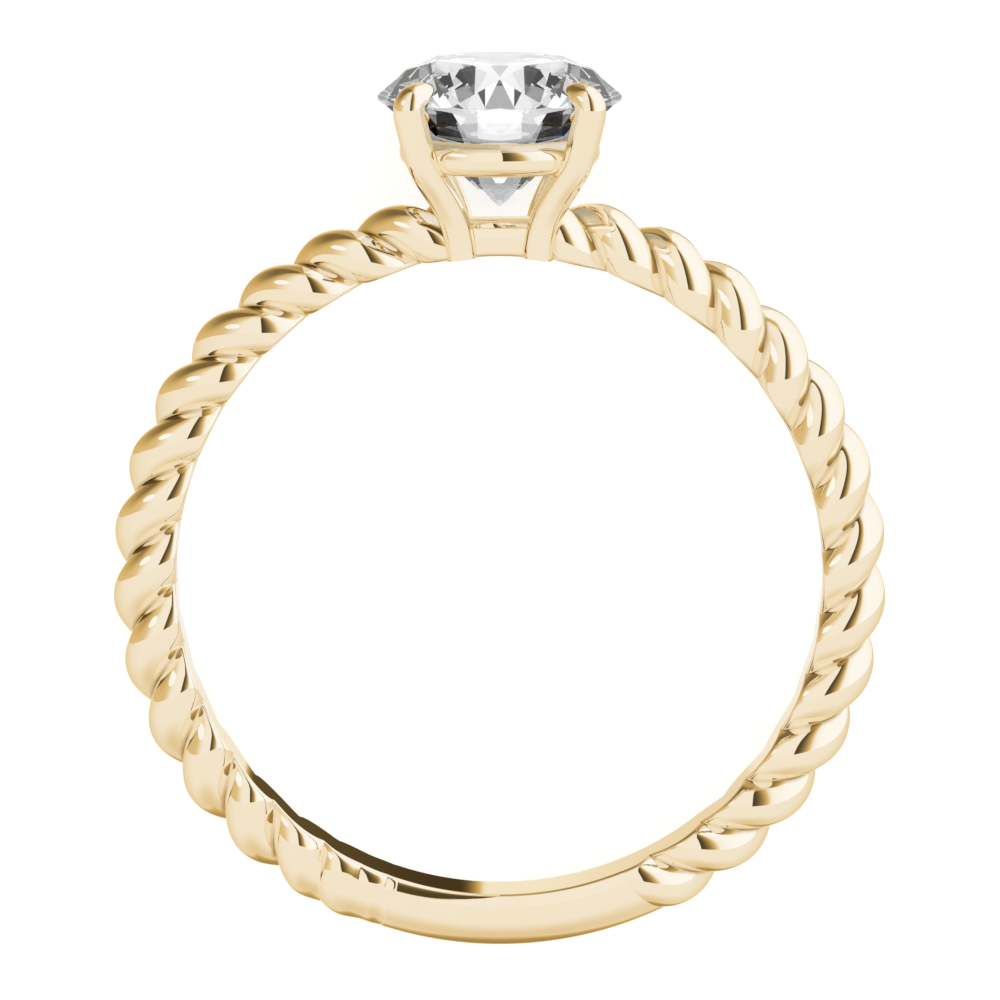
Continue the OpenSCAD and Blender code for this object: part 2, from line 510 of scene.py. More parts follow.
    def plain_rings(self) -> np.ndarray:
        """Rings of the plain sizing section.

        It starts inside the rope's last strand on the right, and ends inside the flat last
        strands on the left. Its rings turn from the strands' slant to straight across.

        Returns:
            Points with the shape (rings, points, 3).
        """
        plain = self.plain
        left_end = 360.0 + self.run_out.rope_end
        first = self.right_end - plain.right_overlap
        last = self.bulge_count * (left_end + plain.left_overlap) / 360.0

        def turn_at(column: np.ndarray, around: np.ndarray) -> np.ndarray:
            """Ring angle: slanted as the strands at the start, straight across at the end."""
            slant = 1.0 - smooth_step((column - first - plain.slant_hold) / plain.slant_span)
            return (column - slant * around / 180.0) * 360.0 / self.bulge_count

        def reach(column: np.ndarray, around: np.ndarray) -> np.ndarray:
            """Reach of the plain section, smaller where it lies inside the rope.

            Args:
                column: Position of the ring, in strands.
                around: Angle around the section in degrees.

            Returns:
                The reach in millimetres.
            """
            turn = turn_at(column, around)
            right = smooth_step((column - first) / plain.right_overlap)
            right = plain.right_share + (1.0 - plain.right_share) * right
            left = smooth_step((left_end + plain.left_lead - turn) / plain.left_fade)
            left = plain.left_share + (1.0 - plain.left_share) * left
            return self.plain_reach(around, turn) * right * left

        return self.skin(np.linspace(first, last, plain.rings), plain.points, turn_at, reach)

    def bridge_rings(self) -> np.ndarray:
        """Rings of the bridge: the plain section with a low crowned top.

        The crown drops by y^2 / (2 crown_r) towards the front and the back.

        Returns:
            Points with the shape (rings, points, 3).
        """
        bridge = self.bridge

        def reach(turn: np.ndarray, around: np.ndarray) -> np.ndarray:
            """Reach of the plain section, cut by the crowned top.

            Args:
                turn: Ring angle in degrees.
                around: Angle around the section in degrees.

            Returns:
                The reach in millimetres.
            """
            a = np.radians(around)
            middle = self.pose.bore_r + self.lift_at(turn)
            flat = bridge.top / np.cos(np.radians(turn)) - middle
            deep = np.clip(flat * np.tan(a), -bridge.crown_reach, bridge.crown_reach)
            flat = flat - deep**2 / (2.0 * bridge.crown_r)
            outward = np.cos(a)
            cut = flat / np.maximum(outward, LEAST_COSINE)
            cut = np.where(outward > LEAST_COSINE, cut, np.inf)
            return np.minimum(self.plain_reach(around, turn), cut)

        columns = np.linspace(-bridge.half, bridge.half, bridge.rings)
        return self.skin(columns, bridge.points, lambda c, a: c + 0.0 * a, reach)

    def rope_labels(self) -> np.ndarray:
        """Positions of the rope's rings: x - ring_crowd sin(2 pi x), for evenly spread x.

        The right end is the middle of a strand, so the rope goes on to the groove after it.

        Returns:
            The positions in strands; whole numbers are grooves.
        """
        last = round(self.right_end + 0.5)
        left_turn = self.run_out.rope_end - self.run_out.end_margin
        left = self.strands_before(np.array(left_turn))
        first = math.floor(left - self.edge_strands)
        even = np.linspace(first, last, (last - first) * self.strand_rings + 1)
        return even - self.ring_crowd * np.sin(2.0 * np.pi * even)

    def groove_shade(self, labels: np.ndarray, rope: np.ndarray) -> np.ndarray:
        """How much painted shade darkens the grooves at each point of the rope, from 0 to 1.

        Args:
            labels: Position of each ring, in strands.
            rope: The rope's rings.

        Returns:
            The darkness of the painted shade, with the shape (rings, points).
        """
        off = np.abs(labels - np.round(labels))[:, None] / self.groove_half
        middle = np.degrees(np.arctan2(np.abs(rope[..., 1]), self.height_of(rope) - self.lift))
        near, far = self.groove_fade
        shown = smooth_step((far - middle) / (far - near))
        least = self.groove_least
        depth = (1.0 - smooth_step(off)) * (least + (1.0 - least) * shown)
        turn = np.degrees(np.arctan2(rope[..., 0], rope[..., 2]))
        return np.where(turn < self.run_out.calm_start, 0.0, depth)

    def build(self) -> list[bpy.types.Object]:
        """Builds the rope, the plain section, the bridge and the lining of the finger hole.

        Returns:
            The four pieces.
        """
        labels = self.rope_labels()
        rope = self.skin(labels, self.rope_points, self.along_strand, self.rope_reach)
        plain, bridge = self.plain_rings(), self.bridge_rings()
        shells = {name: Shell() for name in ("rope_strands", "sizing_section", "bridge")}
        for shell, rings in zip(shells.values(), (rope, plain, bridge)):
            shell.add_tube(rings)
        # Painted shade along the grooves, one value per point; the two end caps get none.
        end_caps = np.zeros(2)
        groove_shade = self.groove_shade(labels, rope).ravel()
        shells["rope_strands"].groove = np.concatenate([groove_shade, end_caps])
        shells["hole_lining"] = Shell()
        shells["hole_lining"].add_hoop(self.lining_rings([rope, plain, bridge]))
        return [piece(name, shell, self.pose) for name, shell in shells.items()]

    def lining_rings(self, skins: list[np.ndarray]) -> np.ndarray:
        """Rings of the thin smooth lining of the finger hole.

        Its two edges are, at each ring angle, the outermost of the lips of all the skins.

        Args:
            skins: Rings of each skin, whose second and last but one points are on the hole.

        Returns:
            Points with the shape (rings, corners, 3).
        """
        turns = np.linspace(-180.0, 180.0, self.lining_turns + 1)[:-1]
        back, front = np.zeros(len(turns)), np.zeros(len(turns))
        for rings in skins:
            for row, side in ((1, 1.0), (-2, -1.0)):
                edge = rings[:, row]
                angle = np.unwrap(np.arctan2(edge[:, 0], edge[:, 2])) * 180 / np.pi
                order = np.argsort(angle)
                for shift in (-360.0, 0.0, 360.0):
                    deep = np.interp(
                        turns, angle[order] + shift, side * edge[order, 1], left=0.0, right=0.0
                    )
                    if side > 0:
                        back = np.maximum(back, deep)
                    else:
                        front = np.maximum(front, deep)
        across = np.linspace(0.0, 1.0, self.lining_points)[None, :]
        deep = back[:, None] - (back + front)[:, None] * across
        turn = np.radians(turns)[:, None] + 0.0 * deep
        bore = self.pose.bore_r
        inside = np.stack([bore * np.sin(turn), deep, bore * np.cos(turn)], -1)
        return np.concatenate([inside, self.folded(inside[:, ::-1])], 1)


class Diagonal(Enum):
    """The diagonals on which the prongs stand, in quarter turns from +X towards +Y."""

    BACK_RIGHT = 0.5
    BACK_LEFT = 1.5
    FRONT_LEFT = 2.5
    FRONT_RIGHT = 3.5


@dataclass
class BasketHead:
    """Four prongs that leave the shank at the finger hole, and one gallery rail.

    A prong is wire of wire_points corners that grows from foot_r to claw_r, and its claw ends in
    tip_rings rings. The rail's outer face is an arc of arc_points points, of which every
    arc_keep-th stays, and its seat begins seat_step behind the arc.
    """

    pose: RestingPose
    foot_r: float = 0.4
    claw_r: float = 0.44
    span_points: int = 12
    wire_points: int = 48
    tip_rings: int = 14
    tip_angles: tuple[float, float] = (5.0, 88.0)
    rail_r: float = 2.68
    rail_inner: float = 2.02
    rail_h: float = 0.89
    rail_z: float = 11.365
    rail_lip: float = 0.05
    lip_points: int = 6
    arc_points: int = 181
    arc_keep: int = 4
    seat_step: float = 0.02
    seat_points: int = 8
    rail_turns: int = 192
    girdle_z: float = 12.79
    seat_gap: float = 0.03

    def path(self) -> np.ndarray:
        """The points that a prong follows, from its foot to its claw.

        Returns:
            One row each: distance out from the stone's axis, and height.
        """
        bore, girdle = self.pose.bore_r, self.girdle_z
        return np.array(
            [
                [1.42, bore - 0.45],
                [1.46, bore + 0.25],
                [1.68, bore + 0.95],
                [2.14, bore + 1.65],
                [2.72, bore + 2.35],
                [3.02, bore + 2.9],
                [3.24, girdle - 0.62],
                [3.37, girdle - 0.12],
                [3.25, girdle + 0.13],
                [2.93, girdle + 0.2],
            ]
        )

    def curve(self, steps: int) -> tuple[np.ndarray, np.ndarray]:
        """A smooth curve through the path.

        Between two points it is the cubic whose slope at each is half the step between its
        neighbours.

        Args:
            steps: Points in each span.

        Returns:
            The curve's points and its directions.
        """
        rows = self.path()
        ends = np.concatenate([rows[:1], rows, rows[-1:]])
        t = (np.arange(steps) / steps)[None, :, None]
        a, b, c, d = (ends[k : len(ends) - 3 + k, None] for k in range(4))
        second, third = 2 * a - 5 * b + 4 * c - d, 3 * b - a - 3 * c + d
        where = 0.5 * (2 * b + (c - a) * t + second * t**2 + third * t**3)
        slope = 0.5 * ((c - a) + 2 * second * t + 3 * third * t**2)
        where = np.concatenate([where.reshape(-1, 2), rows[-1:]])
        slope = np.concatenate([slope.reshape(-1, 2), rows[-1:] - rows[-2:-1]])
        return where, slope / np.linalg.norm(slope, axis=1, keepdims=True)

    def prong(self, diagonal: Diagonal) -> np.ndarray:
        """Rings of one prong: round wire along the curve, a half ball at its end.

        Args:
            diagonal: Where it stands.

        Returns:
            Rings of points.
        """
        where, slope = self.curve(self.span_points)
        size = self.foot_r + (self.claw_r - self.foot_r) * np.linspace(0, 1, len(where))
        cap = np.radians(np.linspace(*self.tip_angles, self.tip_rings))
        tip = where[-1] + slope[-1] * self.claw_r * np.sin(cap)[:, None]
        where = np.concatenate([where, tip])
        slope = np.concatenate([slope, np.repeat(slope[-1:], len(cap), 0)])
        size = np.concatenate([size, self.claw_r * np.cos(cap)])[:, None]
        turn = (np.arange(self.wire_points) / self.wire_points * 2 * np.pi)[None, :]
        side, wide = size * np.cos(turn), size * np.sin(turn)
        out = where[:, :1] + side * slope[:, 1:]
        up = where[:, 1:] - side * slope[:, :1]
        angle = math.pi / 2 * diagonal.value
        x = out * math.cos(angle) - wide * math.sin(angle)
        y = out * math.sin(angle) + wide * math.cos(angle)
        floor = np.sqrt(np.maximum(self.pose.bore_r**2 - x**2, 0.0))
        return self.clear_of_stone(np.stack([x, y, np.maximum(up, floor)], -1))

    def clear_of_stone(self, points: np.ndarray) -> np.ndarray:
        """Moves points that lie inside the stone out through the nearest side of its outline.

        The outline is the stone's convex one at the prongs, grown by seat_gap. A point's
        distance from each side is (point - corner) . normal. It is negative inside, and there
        the largest one belongs to the nearest side.

        Args:
            points: Points with the shape (..., 3).

        Returns:
            The points, with the inner ones on the outline.
        """
        corners = RoundBrilliant(self.pose).corners()
        names = ("culet", "lower", "bottom_between", "top_between", "star")
        outline = [(math.hypot(*corners[name][0][:2]), corners[name][0][2]) for name in names]
        outline.append((self.pose.table_edge_r, self.pose.table_z))
        outline.append((0.0, self.pose.table_z))
        rim = np.array(outline)
        step = np.diff(rim, axis=0)
        normal = np.stack([step[:, 1], -step[:, 0]], 1)
        normal /= np.linalg.norm(normal, axis=1, keepdims=True)
        flat = np.stack([np.hypot(points[..., 0], points[..., 1]), points[..., 2]], -1)
        far = np.einsum("...kj,kj->...k", flat[..., None, :] - rim[:-1], normal) - self.seat_gap
        side = far.argmax(-1)
        push = np.maximum(-far.max(-1), 0.0)
        moved = flat + push[..., None] * normal[side]
        scale = moved[..., 0] / np.maximum(flat[..., 0], LEAST_RADIUS)
        return np.stack([points[..., 0] * scale, points[..., 1] * scale, moved[..., 1]], -1)

    def rail_rings(self) -> np.ndarray:
        """Rings of the gallery rail: a round outer face, a seat under the stone, a flat inside.

        The seat follows the stone's underside, seat_gap away from it, down to the flat inside.

        Returns:
            Points with the shape (rings, corners, 3).
        """
        half, lip = self.rail_h / 2, self.rail_lip
        corners = RoundBrilliant(self.pose).corners()
        low, rim = corners["lower"][0], corners["bottom_between"][0]
        low_r, rim_r = math.hypot(*low[:2]), math.hypot(*rim[:2])
        slope = (rim[2] - low[2]) / (rim_r - low_r)
        gap = self.seat_gap * math.hypot(1.0, slope)

        def seat(radius: np.ndarray) -> np.ndarray:
            """Height of the seat at a radius."""
            return low[2] + (radius - low_r) * slope - gap

        arc = np.radians(np.linspace(-90.0, 90.0, self.arc_points))
        out = self.rail_r - half + half * np.cos(arc)
        up = self.rail_z + half * np.sin(arc)
        under = (up < seat(out)) | (arc < 0.0)
        out, up = out[under][:: self.arc_keep], up[under][:: self.arc_keep]
        in_r = np.linspace(out[-1] - self.seat_step, self.rail_inner, self.seat_points)
        corner = np.radians(np.linspace(180.0, 90.0, self.lip_points))
        low_out = self.rail_inner + lip + lip * np.cos(corner)
        low_up = self.rail_z - half + lip - lip * np.sin(corner)
        out = np.concatenate([out, in_r, low_out])
        up = np.concatenate([up, np.minimum(seat(in_r), up[-1]), low_up])
        turn = (np.arange(self.rail_turns) / self.rail_turns * 2 * np.pi)[:, None]
        return np.stack([out * np.cos(turn), out * np.sin(turn), up + 0.0 * turn], -1)

    def build(self) -> list[bpy.types.Object]:
        """Builds the prongs and the rail.

        Returns:
            The five pieces.
        """
        pieces = []
        for diagonal in Diagonal:
            shell = Shell()
            shell.add_tube(self.prong(diagonal))
            pieces.append(piece(f"prong_{diagonal.name.lower()}", shell, self.pose))
        rail = Shell()
        rail.add_hoop(self.rail_rings())
        pieces.append(piece("gallery_rail", rail, self.pose))
        return pieces


@dataclass
class RoundBrilliant:
    """The stone: 57 flat facets, a pointed culet and a girdle with the facets' scallops.

    The shares are those of a gem report: the table's of the diameter, and how far the stars
    and the lower halves reach. A face whose normal rises less than girdle_lean is the girdle's.
    """

    pose: RestingPose
    diameter: float = 6.5
    girdle_z: float = 12.79
    girdle_t: float = 0.16
    table_share: float = 0.565
    crown_angle: float = 34.5
    pavilion_angle: float = 41.1
    star_share: float = 0.5
    lower_share: float = 0.8
    scallop_steps: int = 8
    girdle_lean: float = 0.1

    def corners(self) -> dict[str, np.ndarray]:
        """Corners of the facets, in eight turns of 45 degrees.

        The table's corners and the mains stand half a turn off the stars and the halves. The
        heights follow from the planes of the main facets.

        Returns:
            Arrays of eight points each, and one for the culet.
        """
        r = self.diameter / 2
        crown = math.tan(math.radians(self.crown_angle))
        pavilion = math.tan(math.radians(self.pavilion_angle))
        top, bottom = self.girdle_z + self.girdle_t / 2, self.girdle_z - self.girdle_t / 2
        eighth = 360.0 / 8
        half = math.cos(math.radians(eighth / 2))
        table = r * self.table_share
        star = table * half + self.star_share * (r - table * half)
        lower = r * (1 - self.lower_share)
        culet = bottom - r * pavilion
        main = np.radians(eighth / 2 + eighth * np.arange(8))
        between = np.radians(eighth * np.arange(8))

        def ring(angle: np.ndarray, radius: float, height: float) -> np.ndarray:
            """Eight points at one radius and height."""
            flat = np.full(8, height)
            return np.stack([radius * np.cos(angle), radius * np.sin(angle), flat], -1)

        return {
            "table": ring(main, table, top + (r - table) * crown),
            "star": ring(between, star, top + (r - star * half) * crown),
            "top_main": ring(main, r, top),
            "top_between": ring(between, r, top),
            "bottom_main": ring(main, r, bottom),
            "bottom_between": ring(between, r, bottom),
            "lower": ring(between, lower, culet + lower * half * pavilion),
            "culet": np.array([[0.0, 0.0, culet]]),
        }

    def scallop(self, apex: np.ndarray, start: np.ndarray, end: np.ndarray) -> np.ndarray:
        """Arc of the girdle in the plane of a half facet.

        The plane holds the apex and both ends. Along the arc the radius stays the stone's, and
        the height is read off that plane.

        Args:
            apex: Corner of the facet away from the girdle.
            start: First corner on the girdle.
            end: Last corner on the girdle.

        Returns:
            Points from start to end, both included.
        """
        normal = np.cross(start - apex, end - apex)
        first, last = math.atan2(start[1], start[0]), math.atan2(end[1], end[0])
        last += round((first - last) / (2 * math.pi)) * 2 * math.pi
        angle = np.linspace(first, last, self.scallop_steps + 1)
        r = self.diameter / 2
        x, y = r * np.cos(angle), r * np.sin(angle)
        z = apex[2] - (normal[0] * (x - apex[0]) + normal[1] * (y - apex[1])) / normal[2]
        return np.stack([x, y, z], -1)

    def shell(self) -> Shell:
        """Gathers the facets into one closed shell.

        Facets with the same number of corners are kept together. Corners that fall on one
        another become one, and each facet is turned away from the stone's middle.

        Returns:
            The shell, with every facet flat.
        """
        c = self.corners()
        sizes: dict[int, list[np.ndarray]] = {}

        def facet(points: np.ndarray) -> None:
            """Keeps one facet under its number of corners."""
            sizes.setdefault(len(points), []).append(points)

        facet(c["table"])
        for k in range(8):
            n = (k + 1) % 8
            facet(np.array([c["table"][k - 1], c["star"][k], c["table"][k]]))
            facet(np.array([c["table"][k], c["star"][k], c["top_main"][k], c["star"][n]]))
            facet(np.array([c["culet"][0], c["lower"][n], c["bottom_main"][k], c["lower"][k]]))
            for far in (k, n):
                ends = (c["top_main"][k], c["top_between"][far])
                low_ends = (c["bottom_main"][k], c["bottom_between"][far])
                upper = self.scallop(c["star"][far], *ends)
                lower = self.scallop(c["lower"][far], *low_ends)
                facet(np.concatenate([c["star"][far][None], upper]))
                facet(np.concatenate([c["lower"][far][None], lower]))
                for i in range(self.scallop_steps):
                    facet(np.array([upper[i], upper[i + 1], lower[i + 1], lower[i]]))
        points = np.concatenate([np.concatenate(group) for group in sizes.values()])
        keys, index = np.unique(np.round(points, 6), axis=0, return_inverse=True)
        faces, start = [], 0
        centre = np.array([0.0, 0.0, self.girdle_z])
        for size, group in sizes.items():
            face = index.reshape(-1)[start : start + size * len(group)].reshape(-1, size)
            start += size * len(group)
            a, b, d = keys[face[:, 0]], keys[face[:, 1]], keys[face[:, size - 1]]
            outward = np.einsum("ij,ij->i", np.cross(b - a, d - a), a - centre)
            faces.append(np.where((outward > 0)[:, None], face, face[:, ::-1]))
        shell = Shell()
        shell.add(keys, faces)
        return shell

    def build(self) -> bpy.types.Object:
        """Builds the stone, and marks the faces of its girdle.

        Returns:
            The piece.
        """
        obj = piece("round_brilliant", self.shell(), self.pose, crease=0.0, node="diamond")
        normals = np.empty(len(obj.data.polygons) * 3, np.float32)
        obj.data.polygons.foreach_get("normal", normals)
        upright = normals.reshape(-1, 3) @ self.pose.matrix()
        girdle = obj.data.attributes.new("girdle", "FLOAT", "FACE")
        on_girdle = np.abs(upright[:, 2]) < self.girdle_lean
        girdle.data.foreach_set("value", on_girdle.astype(np.float32))
        return obj


def piece(
    name: str, shell: Shell, pose: RestingPose, crease: float = 33.0, node: str = "ring_mount"
) -> bpy.types.Object:
    """Makes a piece of the ring, laid on the table, that stands for a node.

    Args:
        name: Name of the piece.
        shell: Its surfaces, upright and in millimetres.
        pose: How the ring lies.
        crease: Angle in degrees past which an edge is sharp.
        node: The CAD node that it replaces.

    Returns:
        The piece.
    """
    shell.points = [pose.lay(part) for part in shell.points]
    obj = bpy.data.objects.new(name, shell.mesh(name, crease))
    bpy.context.scene.collection.objects.link(obj)
    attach(obj, "root")
    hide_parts(node)
    LOG.info("%s: %d faces", name, len(obj.data.polygons))
    return obj


class Blend(Enum):
    """The ways in which one colour goes over another, as the Mix node names them."""

    MIX = "MIX"
    MULTIPLY = "MULTIPLY"


class NodeMaths:
    """Writes sums on the sockets of a node tree as plain calls."""

    def __init__(self, tree: bpy.types.NodeTree) -> None:
        """Keeps the tree that the nodes go into."""
        self.tree = tree

    def put(self, socket: bpy.types.NodeSocket, value: Value) -> None:
        """Gives a socket its value, as a number or as a link.

        Args:
            socket: The input that gets the value.
            value: The value, or the output to link from.
        """
        if isinstance(value, bpy.types.NodeSocket):
            self.tree.links.new(value, socket)
        else:
            socket.default_value = value

    def math(self, operation: str, first: Value, second: Value = 0.0) -> bpy.types.NodeSocket:
        """Combines two numbers.

        Args:
            operation: Name of the operation, as the Math node has it.
            first: The first number, or the only one.
            second: The second number.

        Returns:
            The result.
        """
        node = self.tree.nodes.new("ShaderNodeMath")
        node.operation = operation
        self.put(node.inputs[0], first)
        self.put(node.inputs[1], second)
        return node.outputs[0]

    def rise(self, value: Value, low: float, high: float) -> bpy.types.NodeSocket:
        """Goes smoothly from 0 at low to 1 at high, or down where low is the larger.

        Args:
            value: Where to read the curve.
            low: Where it is 0.
            high: Where it is 1.

        Returns:
            The curve's height.
        """
        node = self.tree.nodes.new("ShaderNodeMapRange")
        node.interpolation_type = "SMOOTHSTEP"
        for name, number in (("Value", value), ("From Min", low), ("From Max", high)):
            self.put(node.inputs[name], number)
        return node.outputs["Result"]

    def both(self, first: Value, *others: Value) -> bpy.types.NodeSocket:
        """Multiplies masks with one another.

        Args:
            first: The first mask.
            others: The masks that it is multiplied by, in order.

        Returns:
            The product.
        """
        for other in others:
            first = self.math("MULTIPLY", first, other)
        return first

    def mix(self, mask: Value, off: Value, on: Value) -> bpy.types.NodeSocket:
        """Goes from one number to another.

        Args:
            mask: How far it has gone, from 0 to 1.
            off: The number at 0.
            on: The number at 1.

        Returns:
            The number in between.
        """
        node = self.tree.nodes.new("ShaderNodeMix")
        for number, value in ((0, mask), (2, off), (3, on)):
            self.put(node.inputs[number], value)
        return node.outputs[0]

    def blend(
        self, mask: Value, off: Value, on: Value, way: Blend = Blend.MIX
    ) -> bpy.types.NodeSocket:
        """Puts one colour over another.

        Args:
            mask: How much of the upper colour shows, from 0 to 1.
            off: The lower colour.
            on: The upper colour.
            way: How the upper colour goes over the lower one.

        Returns:
            The colour.
        """
        node = self.tree.nodes.new("ShaderNodeMix")
        node.data_type = "RGBA"
        node.blend_type = way.value
        for number, value in ((0, mask), (6, off), (7, on)):
            self.put(node.inputs[number], (*value, 1.0) if isinstance(value, tuple) else value)
        return node.outputs[2]

    def tones(self, value: Value, stops: list[tuple[float, Colour]]) -> bpy.types.NodeSocket:
        """Turns a number into a colour, through a few stops.

        Args:
            value: The number.
            stops: Numbers and their colours, in rising order.

        Returns:
            The colour.
        """
        node = self.tree.nodes.new("ShaderNodeValToRGB")
        ramp = node.color_ramp
        while len(ramp.elements) < len(stops):
            ramp.elements.new(0.5)
        for element, (place, colour) in zip(ramp.elements, stops):
            element.position = place
            element.color = (*colour, 1.0)
        self.put(node.inputs[0], value)
        return node.outputs[0]


NOISE_DETAIL = 2.0
NOISE_RANGE = (0.3, 0.7)


def soft_noise(m: NodeMaths, scale: float, low: float, high: float) -> bpy.types.NodeSocket:
    """Places the group that makes soft noise on Object coordinates.

    The group is built once, on first use. It stretches NOISE_RANGE of the plain noise over the
    whole way from low to high.

    Args:
        m: Where the node goes.
        scale: Number of cells in a metre.
        low: The value in the hollows.
        high: The value on the tops.

    Returns:
        The noise, between low and high.
    """
    group = bpy.data.node_groups.get("soft_noise")
    if group is None:
        group = bpy.data.node_groups.new("soft_noise", "ShaderNodeTree")
        for name in ("Scale", "Low", "High"):
            group.interface.new_socket(name, in_out="INPUT", socket_type="NodeSocketFloat")
        group.interface.new_socket("Value", in_out="OUTPUT", socket_type="NodeSocketFloat")
        given = group.nodes.new("NodeGroupInput")
        place = group.nodes.new("ShaderNodeTexCoord")
        texture = group.nodes.new("ShaderNodeTexNoise")
        texture.inputs["Detail"].default_value = NOISE_DETAIL
        spread = group.nodes.new("ShaderNodeMapRange")
        for name, value in zip(("From Min", "From Max"), NOISE_RANGE):
            spread.inputs[name].default_value = value
        made = group.nodes.new("NodeGroupOutput")
        for source, target in (
            (place.outputs["Object"], texture.inputs["Vector"]),
            (given.outputs["Scale"], texture.inputs["Scale"]),
            (texture.outputs["Fac"], spread.inputs["Value"]),
            (given.outputs["Low"], spread.inputs["To Min"]),
            (given.outputs["High"], spread.inputs["To Max"]),
            (spread.outputs["Result"], made.inputs["Value"]),
        ):
            group.links.new(source, target)
    node = m.tree.nodes.new("ShaderNodeGroup")
    node.node_tree = group
    for name, value in (("Scale", scale), ("Low", low), ("High", high)):
        node.inputs[name].default_value = value
    return node.outputs["Value"]


@dataclass(frozen=True)
class PolishedGold:
    """Polished yellow gold: a mirror with faint polishing marks, and painted shade in its
    grooves.

    Where it is seen through the stone or mirrored on a facet it is painted a dark grey, a painted
    dark reflection that keeps the stone as colourless as the real one. A scale is the number of
    noise cells in a metre.
    """

    colour: Colour = (0.96, 0.84, 0.61)
    warm_colour: Colour = (0.95, 0.82, 0.57)
    warm_scale: float = 420.0
    warm_share: float = 0.6
    # The painted shade in the grooves: its colour, the noise that varies it and the roughness it
    # adds.
    groove_shade_colour: Colour = (0.55, 0.38, 0.15)
    groove_scale: float = 2600.0
    groove_least: float = 0.75
    groove_roughness: float = 0.02
    edge_colour: Colour = (0.93, 0.82, 0.60)
    # Painted dark reflections: the gold's colour where the stone shows it, through its body and
    # in a facet's mirror.
    in_stone_colour: Colour = (0.28, 0.28, 0.28)
    on_facet_colour: Colour = (0.08, 0.08, 0.08)
    roughness: tuple[float, float] = (0.012, 0.03)
    roughness_scale: float = 3400.0
    mark_scale: float = 7000.0
    mark_strength: float = 0.05
    mark_depth: float = 1e-6

    def material(self) -> bpy.types.Material:
        """Makes the material.

        Returns:
            The material.
        """
        material = bpy.data.materials.new("polished_gold")
        material.use_nodes = True
        tree = material.node_tree
        shader = tree.nodes["Principled BSDF"]
        shader.inputs["Metallic"].default_value = 1.0
        shader.inputs["Specular Tint"].default_value = (*self.edge_colour, 1.0)
        m = NodeMaths(tree)
        mark = tree.nodes.new("ShaderNodeAttribute")
        mark.attribute_name = "groove"
        warm = soft_noise(m, self.warm_scale, 0.0, self.warm_share)
        colour = m.blend(warm, self.colour, self.warm_colour)
        # Painted shade: the groove attribute, varied a little by noise, darkens the gold along
        # the grooves and roughens it.
        groove_shade = soft_noise(m, self.groove_scale, self.groove_least, 1.0)
        groove_shade = m.both(mark.outputs["Fac"], groove_shade)
        colour = m.blend(groove_shade, colour, self.groove_shade_colour)
        # Painted dark reflection: the gold turns dark grey where it is seen through the stone or
        # mirrored by a facet.
        path = tree.nodes.new("ShaderNodeLightPath")
        inside = m.math("GREATER_THAN", path.outputs["Transmission Depth"], 0.5)
        on_facet = m.math(
            "GREATER_THAN", path.outputs["Is Singular Ray"], path.outputs["Is Camera Ray"]
        )
        colour = m.blend(on_facet, colour, self.on_facet_colour)
        m.put(shader.inputs["Base Color"], m.blend(inside, colour, self.in_stone_colour))
        rough = soft_noise(m, self.roughness_scale, *self.roughness)
        rough = m.math("ADD", rough, m.both(groove_shade, self.groove_roughness))
        m.put(shader.inputs["Roughness"], rough)
        bump = tree.nodes.new("ShaderNodeBump")
        bump.inputs["Strength"].default_value = self.mark_strength
        bump.inputs["Distance"].default_value = self.mark_depth
        m.put(bump.inputs["Height"], soft_noise(m, self.mark_scale, 0.0, 1.0))
        m.put(shader.inputs["Normal"], bump.outputs["Normal"])
        return material


@dataclass(frozen=True)
class ClearDiamond:
    """Clear diamond: polished facets, a frosted girdle and the faintest clouds inside.

    Most rays mirrored by the gold, the share clearness of them, pass straight through it. They
    keep passing_colour of their light and pick up passing_light, a painted glow, so the gold
    beside it shows a bright, clean painted reflection of it.
    """

    colour: Colour = (1.0, 1.0, 1.0)
    cloud_colour: Colour = (0.965, 0.975, 0.985)
    cloud_scale: float = 900.0
    girdle_roughness: float = 0.3
    clearness: float = 0.9
    passing_colour: Colour = (0.72, 0.72, 0.72)
    passing_light: float = 0.25
    ior: float = 2.417

    def material(self) -> bpy.types.Material:
        """Makes the material.

        Returns:
            The material.
        """
        material = bpy.data.materials.new("clear_diamond")
        material.use_nodes = True
        tree = material.node_tree
        shader = tree.nodes["Principled BSDF"]
        shader.inputs["IOR"].default_value = self.ior
        shader.inputs["Transmission Weight"].default_value = 1.0
        m = NodeMaths(tree)
        clouds = soft_noise(m, self.cloud_scale, 0.0, 1.0)
        m.put(shader.inputs["Base Color"], m.blend(clouds, self.colour, self.cloud_colour))
        mark = tree.nodes.new("ShaderNodeAttribute")
        mark.attribute_name = "girdle"
        m.put(shader.inputs["Roughness"], m.both(mark.outputs["Fac"], self.girdle_roughness))
        path = tree.nodes.new("ShaderNodeLightPath")
        plain = m.math("SUBTRACT", 1.0, path.outputs["Is Singular Ray"])
        mirrored = m.both(path.outputs["Is Glossy Ray"], plain, self.clearness)
        clear = tree.nodes.new("ShaderNodeBsdfTransparent")
        clear.inputs["Color"].default_value = (*self.passing_colour, 1.0)
        # Painted glow: the stone gives off light only where the gold mirrors it, a painted
        # reflection.
        shine = tree.nodes.new("ShaderNodeEmission")
        shine.inputs["Strength"].default_value = self.passing_light
        bright = tree.nodes.new("ShaderNodeAddShader")
        either = tree.nodes.new("ShaderNodeMixShader")
        m.put(either.inputs[0], mirrored)
        tree.links.new(clear.outputs[0], bright.inputs[0])
        tree.links.new(shine.outputs[0], bright.inputs[1])
        tree.links.new(shader.outputs[0], either.inputs[1])
        tree.links.new(bright.outputs[0], either.inputs[2])
        tree.links.new(either.outputs[0], tree.nodes["Material Output"].inputs["Surface"])
        return material


